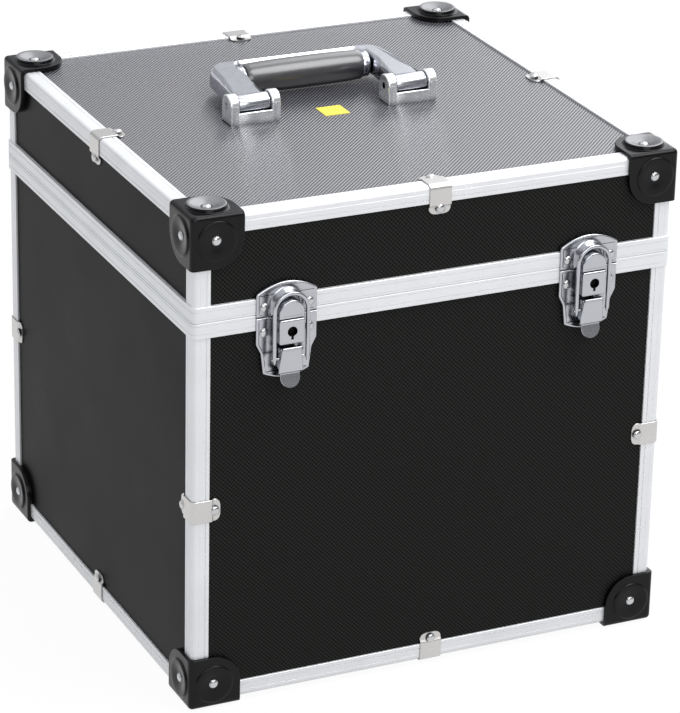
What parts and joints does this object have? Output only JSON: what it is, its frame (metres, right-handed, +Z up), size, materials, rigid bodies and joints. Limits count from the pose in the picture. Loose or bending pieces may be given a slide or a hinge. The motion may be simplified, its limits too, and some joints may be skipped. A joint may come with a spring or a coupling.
{
  "type": "toolbox",
  "caption": "Cube-like aluminium-framed case with black boards, plastic corners, sheet clips, keyed draw latches, a back-hinged lid and a folding top handle.",
  "frame": {"origin": "centre of the bounding box, at the plane of the feet", "axes": "+Z up, +X to the right seen from the latch side, +Y from the latches to the hinges"},
  "size_m": [0.38, 0.389, 0.3995],
  "materials": {
    "board": "black laminate skin on plywood",
    "trim": "bright anodised extrusion",
    "corner": "satin black moulding",
    "clip": "zinc-plated sheet",
    "rivet": "bright domed head",
    "latch": "bright plated pressing",
    "pin": "plated steel",
    "hinge": "zinc-plated sheet",
    "bracket": "satin chrome casting",
    "bow": "satin chrome casting",
    "grip": "gloss black sleeve",
    "lining": "foam sheet",
    "label": "plain vinyl"
  },
  "bodies": {
    "case_body": {"body_front_board": "board", "body_back_board": "board", "body_left_board": "board", "body_right_board": "board", "body_bottom_board": "board", "body_posts": "trim", "body_bottom_rails": "trim", "body_closure_frame": "trim", "body_corners": "corner", "body_edge_clips": "clip", "body_rivets": "rivet", "latch_base_left": "latch", "latch_base_right": "latch", "lock_case_left": "latch", "lock_case_right": "latch", "key_post_left": "pin", "key_post_right": "pin", "fulcrum_pin_left": "pin", "fulcrum_pin_right": "pin", "latch_base_rivets": "rivet", "hinge_body_leaves": "hinge", "hinge_body_rivets": "rivet", "hinge_pins": "pin", "floor_lining": "lining"},
    "lid": {"lid_front_board": "board", "lid_back_board": "board", "lid_left_board": "board", "lid_right_board": "board", "lid_top_board": "board", "lid_posts": "trim", "lid_top_rails": "trim", "lid_closure_frame": "trim", "lid_corners": "corner", "lid_edge_clips": "clip", "lid_rivets": "rivet", "latch_keeper_left": "latch", "latch_keeper_right": "latch", "latch_keeper_rivets": "rivet", "hinge_lid_leaves": "hinge", "hinge_lid_rivets": "rivet", "handle_bracket_left": "bracket", "handle_bracket_right": "bracket", "handle_pins": "pin", "bracket_screws": "pin", "lid_lining": "lining", "lid_label": "label"},
    "handle": {"handle_bow": "bow", "handle_grip": "grip", "grip_core": "pin", "grip_collars": "bow"},
    "lever_left": {"latch_lever_left": "latch", "bail_pin_left": "pin"},
    "bail_left": {"latch_bail_left": "latch"},
    "bolt_left": {"lock_bolt_left": "pin"},
    "lever_right": {"latch_lever_right": "latch", "bail_pin_right": "pin"},
    "bail_right": {"latch_bail_right": "latch"},
    "bolt_right": {"lock_bolt_right": "pin"}
  },
  "joints": [
    {"name": "lid_hinge", "type": "hinge", "parent": "case_body", "child": "lid", "pos_m": [0, 0.1915, 0.3], "axis": [-1, 0, 0], "range_deg": [0, 95]},
    {"name": "handle_fold", "type": "hinge", "parent": "lid", "child": "handle", "pos_m": [-0.0035, -0.004, 0.3875], "axis": [1, 0, 0], "range_deg": [0, 90]},
    {"name": "lever_left_turn", "type": "hinge", "parent": "case_body", "child": "lever_left", "pos_m": [-0.117, -0.1903, 0.2748], "axis": [-1, 0, 0], "range_deg": [0, 95]},
    {"name": "bail_left_turn", "type": "hinge", "parent": "lever_left", "child": "bail_left", "pos_m": [-0.117, -0.19, 0.2685], "axis": [-1, 0, 0], "range_deg": [-123.5, 0]},
    {"name": "bolt_left_slide", "type": "slide", "parent": "case_body", "child": "bolt_left", "axis": [0, 0, 1], "range_m": [-0.0023, 0]},
    {"name": "lever_right_turn", "type": "hinge", "parent": "case_body", "child": "lever_right", "pos_m": [0.1194, -0.1903, 0.2748], "axis": [-1, 0, 0], "range_deg": [0, 95]},
    {"name": "bail_right_turn", "type": "hinge", "parent": "lever_right", "child": "bail_right", "pos_m": [0.1194, -0.19, 0.2685], "axis": [-1, 0, 0], "range_deg": [-123.5, 0]},
    {"name": "bolt_right_slide", "type": "slide", "parent": "case_body", "child": "bolt_right", "axis": [0, 0, 1], "range_m": [-0.0023, 0]}
  ],
  "couplings": [
    {"joint": "bail_left_turn", "follows": "lever_left_turn", "ratio": -1.3},
    {"joint": "bail_right_turn", "follows": "lever_right_turn", "ratio": -1.3}
  ]
}
